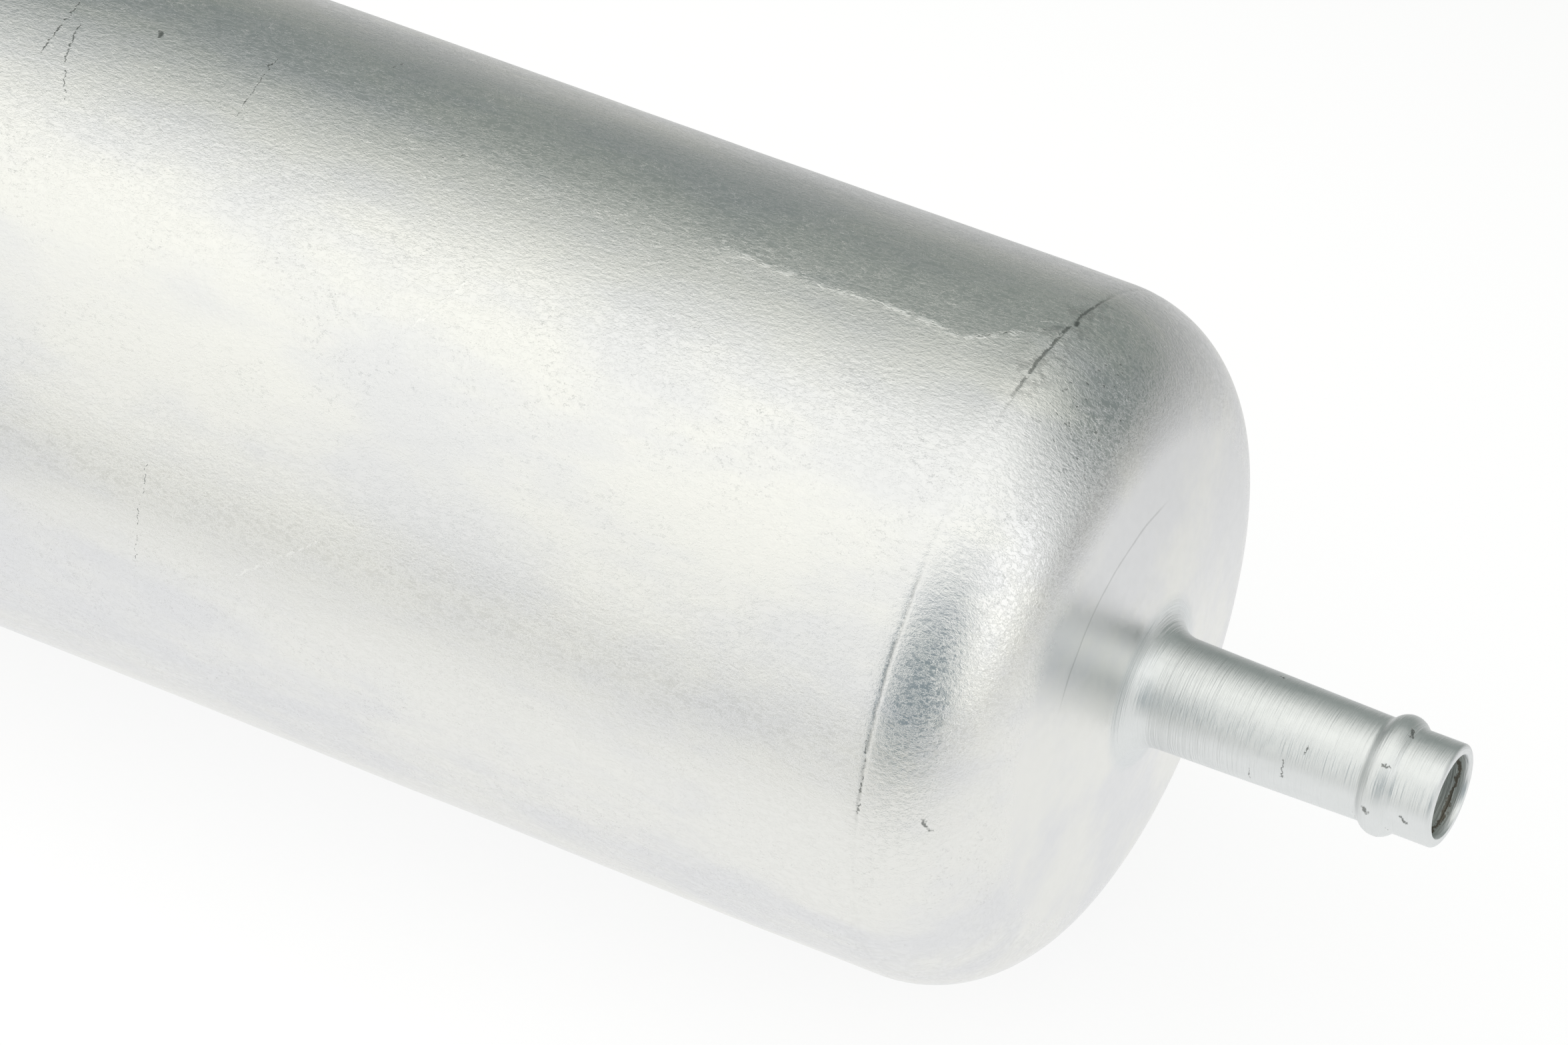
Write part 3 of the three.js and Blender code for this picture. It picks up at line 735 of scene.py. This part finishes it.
def all_materials():
    metal, dull = 1.0, 0.0
    turned = (1, 0.1, 0.1)
    table = [
        ("cover_aluminium", ((0.74, 0.745, 0.745), (0.79, 0.79, 0.78)), metal, (0.24, 0.32), 1.2, 0.008),
        ("turned_aluminium", ((0.77, 0.775, 0.775), (0.8, 0.8, 0.79)), metal, (0.22, 0.3), 5, 0.008, turned),
        ("tinned_steel", ((0.52, 0.53, 0.52), (0.6, 0.6, 0.58)), metal, (0.32, 0.45), 1.2, 0.01),
        ("spring_steel", ((0.24, 0.25, 0.26), (0.33, 0.33, 0.33)), metal, (0.28, 0.42), 3, 0.01),
        ("rubber", ((0.012, 0.012, 0.012), (0.022, 0.022, 0.023)), dull, (0.6, 0.8), 3, 0.02),
        ("plastisol", ((0.36, 0.1, 0.035), (0.43, 0.13, 0.05)), dull, (0.38, 0.55), 0.8, 0.04),
        ("filter_paper", ((0.63, 0.52, 0.28), (0.72, 0.61, 0.36)), dull, (0.85, 0.98), 2.5, 0.03),
        ("hot_melt", ((0.7, 0.66, 0.5), (0.78, 0.74, 0.6)), dull, (0.3, 0.45), 0.7, 0.05),
    ]
    made = {row[0]: grained(*row) for row in table}
    made["can_aluminium"] = can_metal()
    return made


# ---------------------------------------------------------------------------
# Pieces
# ---------------------------------------------------------------------------

def place_piece(piece, node, slot):
    """Puts a fine piece in a CAD node's place."""
    piece.data.materials.append(MATERIALS[slot])
    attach(piece, "root")
    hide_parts(node)


def build_housing():
    shell = revolved("can_shell", can_outline(), can_relief)
    place_piece(shell, "filter_can", "can_aluminium")
    cover = revolved("cover_pressing", cover_outline(), cover_relief)
    place_piece(cover, "cover_plate", "cover_aluminium")
    spigot = revolved("inlet_turning", inlet_outline())
    place_piece(spigot, "inlet_spigot", "turned_aluminium")


def build_rings():
    """Seals, washer and potting, with their edges rounded."""
    rings = [
        ("gasket_ring", "seam_gasket", 25.6, 26.4, 0.25, "rubber"),
        ("inlet_seal_ring", "inlet_spigot_seal", 6.3, 9.6, 0.3, "rubber"),
        ("inlet_washer_ring", "inlet_spigot_washer", 6.3, 9.2, 0.08, "tinned_steel"),
        ("inlet_potting_cake", "inlet_potting", 8.5, 23.7, 0.5, "plastisol"),
        ("outlet_potting_cake", "outlet_potting", 8.5, 23.7, 0.5, "plastisol"),
    ]
    for name, node, inner, outer, corner, slot in rings:
        place_piece(revolved(name, rounded_ring(inner, outer, *span(node), corner)), node, slot)


def build_outlet_seal():
    start, end = span("outlet_seal_ring")
    inner, outer = 5.3, 8.6
    outline = [
        (start, inner + 0.8), (start, outer - 0.2), (start + 0.2, outer), (end - 0.7, outer),
        (end - 0.35, outer - 0.2), (end - 0.05, outer - 0.8), (end, outer - 1.0),
        (end, inner + 0.1), (end - 0.1, inner), (start + 0.9, inner), (start + 0.4, inner + 0.25),
    ]
    place_piece(revolved("outlet_lip_seal", outline), "outlet_seal_ring", "rubber")


def build_end_discs():
    """The pressed discs that close the element's two ends."""
    metal, rim, skirt, corner = 0.6, 24.3, 4.0, 1.0
    collar, bend = 4.7, 1.0
    outlet_x = span("outlet_end_disc")[0] + skirt
    boss_x = outlet_x + 3.1
    outlet = (
        [(outlet_x - skirt, rim)]
        + arc(outlet_x - corner, rim - corner, corner, 0, 90, 8)
        + line((outlet_x, rim - corner), (outlet_x, 11.5), 3)[1:]
        + [(outlet_x + 0.2, 11.2), (boss_x - 0.2, 10.0), (boss_x, 9.7)]
        + arc(boss_x + bend, collar + bend, bend, -90, -180, 8)
        + [(boss_x + 4.4, collar)]
    )
    disc = revolved("outlet_disc_pressing", sheet(outlet, metal))
    place_piece(disc, "outlet_end_disc", "tinned_steel")
    inlet_x = span("inlet_end_disc")[1] - skirt
    pip, pip_height = 3.8, 1.6
    inlet = (
        [(inlet_x + skirt, rim)]
        + arc(inlet_x + corner, rim - corner, corner, 0, -90, 8)
        + line((inlet_x, rim - corner), (inlet_x, pip + 0.7), 3)[1:]
        + [(inlet_x - 0.2, pip + 0.4), (inlet_x - pip_height + 0.2, pip + 0.1)]
        + [(inlet_x - pip_height, pip - 0.3), (inlet_x - pip_height, 0)]
    )
    disc = revolved("inlet_disc_pressing", sheet(inlet, metal))
    place_piece(disc, "inlet_end_disc", "tinned_steel")


def build_spring():
    """Coil whose first and last turns are nearly closed."""
    wire, coil, turns, closed_pitch = 0.7, 10.5, 5, 1.7
    low, high = span("element_spring")
    start, end = low + wire, high - wire
    share = np.linspace(0, 1, 96 * turns + 1) * turns
    open_pitch = (end - start - 2 * closed_pitch) / (turns - 2)
    x = start + np.minimum(share, 1) * closed_pitch
    x += np.clip(share - 1, 0, turns - 2) * open_pitch
    x += np.maximum(share - turns + 1, 0) * closed_pitch
    angle = share * 2 * math.pi
    centres = np.stack([x, coil * np.cos(angle), coil * np.sin(angle)], axis=1)
    place_piece(wire_along("spring_coil", centres, wire, 16), "element_spring", "spring_steel")


def build_pleats():
    """Paper folded into radial pleats with rounded folds."""
    count, valley, crest, paper = 40, 10.0, 23.2, 0.4
    steps = count * 32
    turns = np.arange(steps) / steps * 2 * math.pi
    flatter = np.tanh(2.2 * np.cos(turns * count)) / math.tanh(2.2)
    loops = []
    for offset in (paper / 2, -paper / 2):
        radii = (crest + valley) / 2 + offset + (crest - valley) / 2 * flatter
        loops.append(np.stack([radii * np.sin(turns), radii * np.cos(turns)], axis=1))
    start, end = span("pleat_pack")
    place_piece(extruded_loops("pleated_paper", *loops, start, end), "pleat_pack", "filter_paper")


def dress_cad_nodes():
    """Materials for the CAD nodes that stay as they are."""
    slots = {
        "pleat_seam_clip": "tinned_steel",
        "pleat_band_1": "hot_melt",
        "pleat_band_2": "hot_melt",
        "pleat_band_3": "hot_melt",
        "centre_tube": "tinned_steel",
        "outlet_strainer": "tinned_steel",
        "support_plate": "tinned_steel",
    }
    for node, slot in slots.items():
        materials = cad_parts[node].data.materials
        materials.clear()
        materials.append(MATERIALS[slot])


# ---------------------------------------------------------------------------
# Studio
# ---------------------------------------------------------------------------

def build_floor():
    """A white floor that glows, with a painted pool of light brightest round the filter.

    Reflections see it dimmer and warmer than the camera does, most of all behind the filter.
    """
    made, n, shader = new_material("floor", 0.0, roughness=0.9)
    shader["Base Color"].default_value = (0.25, 0.25, 0.25, 1)
    shader["Specular IOR Level"].default_value = 0.0
    place = n.position()
    away = n.vector("LENGTH", n.vector("MULTIPLY", place, (0.7, 1, 1)))
    far = n.ramp(away, 60, 320)
    back = n.ramp(n.split(place)[1], 25, 110)
    mirrored = n.math("SUBTRACT", 1.0, n.add("ShaderNodeLightPath").outputs["Is Camera Ray"])
    dim = n.product(mirrored, n.total(n.product(far, -0.2), n.product(back, -0.32)))
    # Painted pool of light: the floor glows, brightest round the filter and fading outward.
    glow = n.ramp(away, 60, 320, 0.79, 0.53)
    n.set(shader["Emission Strength"], n.product(glow, n.total(dim, 1.0)))
    warm = n.product(mirrored, n.ramp(away, 120, 400))
    n.set(shader["Emission Color"], n.mix(warm, (1, 1, 1, 1), (1, 1, 0.93, 1)))
    half, z = 2500, FLOOR_Z - 0.02
    corners = [(-half, -half, z), (half, -half, z), (half, half, z), (-half, half, z)]
    plane = new_piece("floor", corners, [(0, 1, 2, 3)])
    plane.data.materials.append(made)


def build_surroundings():
    """Pale studio: bright above, dim behind, a smaller dim patch at the front right.

    The brightness by direction follows the photo's reflections. The camera sees plain grey.
    """
    world = bpy.data.worlds.new("studio")
    bpy.context.scene.world = world
    world.use_nodes = True
    world.node_tree.nodes.clear()
    n = Nodes(world.node_tree)
    x, y, z = n.split(n.add("ShaderNodeTexCoord").outputs["Generated"])
    level = n.math("SQRT", n.total(n.product(x, x), n.product(y, y)))
    north = n.math("DIVIDE", y, n.math("MAXIMUM", level, 0.001))
    up = n.product(n.math("ARCSINE", z), 180 / math.pi)
    heading = n.product(n.math("ARCTAN2", x, n.product(y, -1.0)), 180 / math.pi)
    behind = n.product(n.ramp(north, 0.14, 0.68), n.ramp(up, 84, 24))
    front = n.product(n.ramp(n.away(heading, 27.0), 36, 14), n.ramp(up, 60, 22))
    side = n.product(n.ramp(n.away(heading, 82.0), 26, 4), n.ramp(up, 60, 30))
    sky = n.mix(n.ramp(up, 20, 75), (1.08, 1.08, 1.05, 1), (1.25, 1.25, 1.20, 1))
    sky = n.mix(behind, sky, (0.26, 0.295, 0.28, 1))
    sky = n.mix(front, sky, (0.28, 0.34, 0.37, 1))
    sky = n.mix(side, sky, (1.32, 1.32, 1.30, 1))
    backdrop = n.add("ShaderNodeBackground", {"Color": (0.73, 0.73, 0.73, 1)}).outputs[0]
    lit = n.add("ShaderNodeBackground", {"Color": sky}).outputs[0]
    seen = n.add("ShaderNodeLightPath").outputs["Is Camera Ray"]
    mixed = n.add("ShaderNodeMixShader", {0: seen, 1: lit, 2: backdrop}).outputs[0]
    n.set(n.add("ShaderNodeOutputWorld").inputs["Surface"], mixed)


def build_camera():
    """29 degrees round to the outlet side and 42.5 degrees up, close to the outlet end."""
    azimuth, elevation = math.radians(28.98), math.radians(42.54)
    towards = Vector((
        -math.sin(azimuth) * math.cos(elevation),
        math.cos(azimuth) * math.cos(elevation),
        -math.sin(elevation),
    ))
    data = bpy.data.cameras.new("camera")
    data.sensor_width = 36
    data.lens = 169.69
    data.clip_start, data.clip_end = 0.01, 50
    view = bpy.data.objects.new("camera", data)
    bpy.context.scene.collection.objects.link(view)
    view.location = Vector((SHOULDER_X + 179.93, -359.73, 379.79)) * MM
    view.rotation_mode = "QUATERNION"
    view.rotation_quaternion = towards.to_track_quat("-Z", "Y")
    bpy.context.scene.camera = view


MATERIALS = all_materials()
build_housing()
build_rings()
build_outlet_seal()
build_end_discs()
build_spring()
build_pleats()
dress_cad_nodes()
build_floor()
build_surroundings()
build_camera()
bpy.context.scene.view_settings.view_transform = "Standard"
